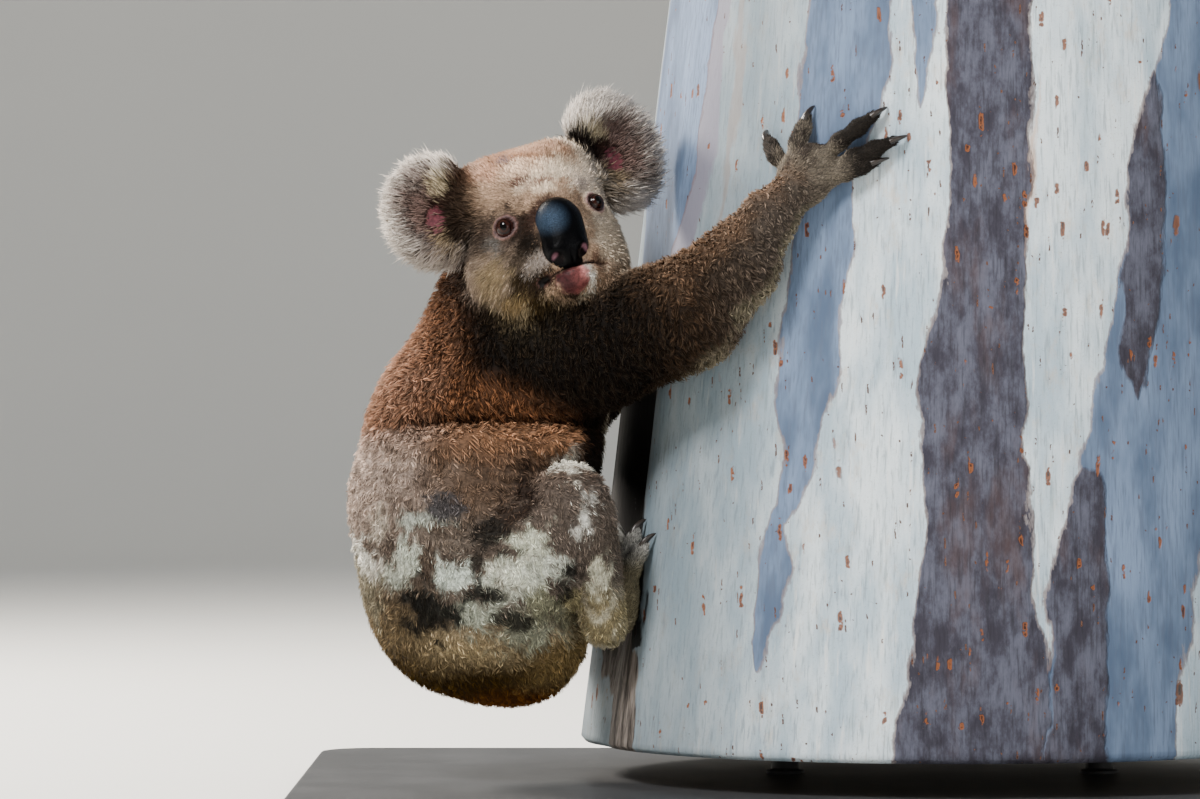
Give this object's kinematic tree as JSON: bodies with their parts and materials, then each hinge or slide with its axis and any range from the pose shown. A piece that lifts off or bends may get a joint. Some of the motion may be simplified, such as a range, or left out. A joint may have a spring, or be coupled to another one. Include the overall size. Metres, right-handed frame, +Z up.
{
  "type": "koala",
  "caption": "Life-size koala clinging upright to a cut length of smooth-barked trunk, head turned over its shoulder, on a flat stand.",
  "frame": {"origin": "centre of the underside of the flat stand base, which rests on the floor", "axes": "+Z up along the trunk; the koala clings to the trunk's -X side, faces +X, and its right side and its turned face look along -Y"},
  "size_m": [0.9, 0.7, 0.712],
  "materials": {
    "coat_grey": "dense grey-brown woolly fur with a fleck of paler tips",
    "coat_brown": "dense rust-brown to dark brown woolly fur",
    "coat_pale": "cream-buff to pale grey short fur, mottled on the rump",
    "ear_fur": "long soft grey and cream fur",
    "nose_leather": "bare blue-black skin with a fine grain and a soft sheen",
    "eye": "wet glossy dark brown",
    "claw_horn": "smooth dark brown-black horn",
    "bark": "smooth matt eucalyptus bark, pale grey-cream with blue-grey and purple-brown streaks",
    "stand": "satin dark grey paint"
  },
  "bodies": {
    "root": {"head": "coat_grey", "neck": "coat_brown", "nose": "nose_leather", "eye_right": "eye", "eye_left": "eye", "ear_right": "ear_fur", "ear_left": "ear_fur", "chest": "coat_brown", "loins": "coat_grey", "rump": "coat_pale", "upper_arm_right": "coat_brown", "upper_arm_left": "coat_brown", "forearm_right": "coat_grey", "forearm_left": "coat_grey", "hand_right": "coat_pale", "hand_left": "coat_pale", "claw_hand_right_1": "claw_horn", "claw_hand_right_2": "claw_horn", "claw_hand_right_3": "claw_horn", "claw_hand_right_4": "claw_horn", "claw_hand_right_5": "claw_horn", "claw_hand_left_1": "claw_horn", "claw_hand_left_2": "claw_horn", "claw_hand_left_3": "claw_horn", "claw_hand_left_4": "claw_horn", "claw_hand_left_5": "claw_horn", "thigh_right": "coat_grey", "thigh_left": "coat_grey", "shank_right": "coat_pale", "shank_left": "coat_pale", "foot_right": "coat_pale", "foot_left": "coat_pale", "claw_foot_right_2": "claw_horn", "claw_foot_right_3": "claw_horn", "claw_foot_right_4": "claw_horn", "claw_foot_right_5": "claw_horn", "claw_foot_left_2": "claw_horn", "claw_foot_left_3": "claw_horn", "claw_foot_left_4": "claw_horn", "claw_foot_left_5": "claw_horn", "perch_trunk": "bark", "stand_rod_a": "stand", "stand_rod_b": "stand", "stand_base": "stand"}
  },
  "joints": []
}
